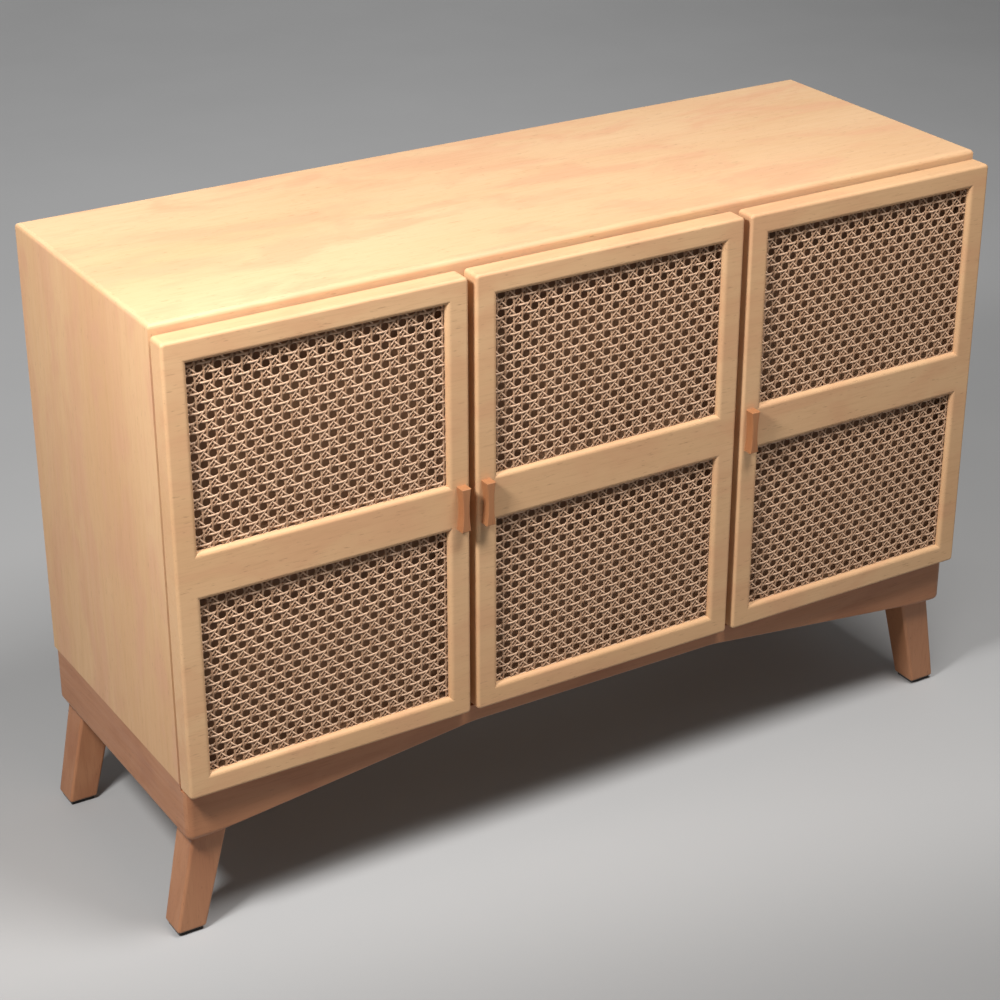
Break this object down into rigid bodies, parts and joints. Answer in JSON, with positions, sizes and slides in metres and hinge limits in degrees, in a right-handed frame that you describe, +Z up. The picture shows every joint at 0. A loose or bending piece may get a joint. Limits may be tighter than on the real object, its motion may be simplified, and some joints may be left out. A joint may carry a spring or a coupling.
{
  "type": "sideboard",
  "caption": "Low wooden cabinet with hinged frame doors filled with woven cane, upright wooden pulls, inner shelves, and an arched plinth on splayed tapered legs.",
  "frame": {"origin": "on the floor, under the centre of the whole cabinet's box", "axes": "+X along the cabinet's length, to the right as seen from the front; +Y from the doors towards the back; +Z up"},
  "size_m": [1.2282, 0.4424, 0.823],
  "materials": {
    "pale_wood": "satin clear lacquer on pale honey-coloured wood",
    "stained_wood": "satin lacquer on orange-brown stained wood",
    "cane": "natural split cane, woven",
    "board": "dark brown stained board",
    "dowel_wood": "bare turned wood",
    "steel": "bright plated steel",
    "felt": "pressed dark felt"
  },
  "bodies": {
    "carcass": {"top_panel": "pale_wood", "bottom_panel": "pale_wood", "left_side_panel": "pale_wood", "right_side_panel": "pale_wood", "divider_panel": "pale_wood", "meeting_post": "pale_wood", "back_panel": "board", "left_bay_shelf": "pale_wood", "right_bay_shelf": "pale_wood", "shelf_pins": "steel", "panel_dowels": "dowel_wood", "front_left_leg": "stained_wood", "front_right_leg": "stained_wood", "rear_left_leg": "stained_wood", "rear_right_leg": "stained_wood", "front_apron": "stained_wood", "rear_apron": "stained_wood", "left_plinth_rail": "stained_wood", "right_plinth_rail": "stained_wood", "leg_screws": "steel", "felt_pads": "felt", "hinge_arms": "steel", "hinge_arm_screws": "steel", "hinge_blocks": "pale_wood"},
    "left_door": {"left_door_left_stile": "pale_wood", "left_door_right_stile": "pale_wood", "left_door_bottom_rail": "pale_wood", "left_door_middle_rail": "pale_wood", "left_door_top_rail": "pale_wood", "left_door_upper_cane": "cane", "left_door_lower_cane": "cane", "left_door_cane_beads": "board", "left_door_backing_boards": "board", "left_door_screws": "steel", "left_door_hinge_cups": "steel", "left_door_pull": "stained_wood"},
    "middle_door": {"middle_door_left_stile": "pale_wood", "middle_door_right_stile": "pale_wood", "middle_door_bottom_rail": "pale_wood", "middle_door_middle_rail": "pale_wood", "middle_door_top_rail": "pale_wood", "middle_door_upper_cane": "cane", "middle_door_lower_cane": "cane", "middle_door_cane_beads": "board", "middle_door_backing_boards": "board", "middle_door_screws": "steel", "middle_door_hinge_cups": "steel", "middle_door_pull": "stained_wood"},
    "right_door": {"right_door_left_stile": "pale_wood", "right_door_right_stile": "pale_wood", "right_door_bottom_rail": "pale_wood", "right_door_middle_rail": "pale_wood", "right_door_top_rail": "pale_wood", "right_door_upper_cane": "cane", "right_door_lower_cane": "cane", "right_door_cane_beads": "board", "right_door_backing_boards": "board", "right_door_screws": "steel", "right_door_hinge_cups": "steel", "right_door_pull": "stained_wood"}
  },
  "joints": [
    {"name": "left_door_hinge", "type": "hinge", "parent": "carcass", "child": "left_door", "pos_m": [-0.5915, -0.1913, 0.515], "axis": [0, 0, -1], "range_deg": [0, 95]},
    {"name": "middle_door_hinge", "type": "hinge", "parent": "carcass", "child": "middle_door", "pos_m": [0.18817, -0.1913, 0.515], "axis": [0, 0, 1], "range_deg": [0, 95]},
    {"name": "right_door_hinge", "type": "hinge", "parent": "carcass", "child": "right_door", "pos_m": [0.5915, -0.1913, 0.515], "axis": [0, 0, 1], "range_deg": [0, 95]}
  ]
}
